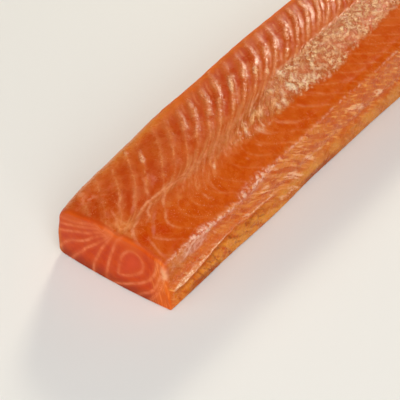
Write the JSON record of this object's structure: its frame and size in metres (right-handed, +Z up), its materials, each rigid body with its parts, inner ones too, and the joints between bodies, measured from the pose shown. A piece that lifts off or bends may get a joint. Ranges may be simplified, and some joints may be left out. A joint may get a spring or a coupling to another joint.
{
  "type": "smoked salmon loin",
  "caption": "Strip of skinless smoked salmon back fillet, cut square at both ends, lying on its skin side with the marbled bone side up.",
  "frame": {"origin": "middle of the loin's length and width, on its flat underside", "axes": "+Z up through the top face, +Y along the loin from the narrow cut end to the thick one, +X to the trimmed side with the long crease"},
  "size_m": [0.0742, 0.2438, 0.0357],
  "materials": {
    "flesh": "moist orange fish flesh with a thin oily sheen, paler fat lines and a paler trimmed side"
  },
  "bodies": {
    "root": {"salmon_loin": "flesh"}
  },
  "joints": []
}
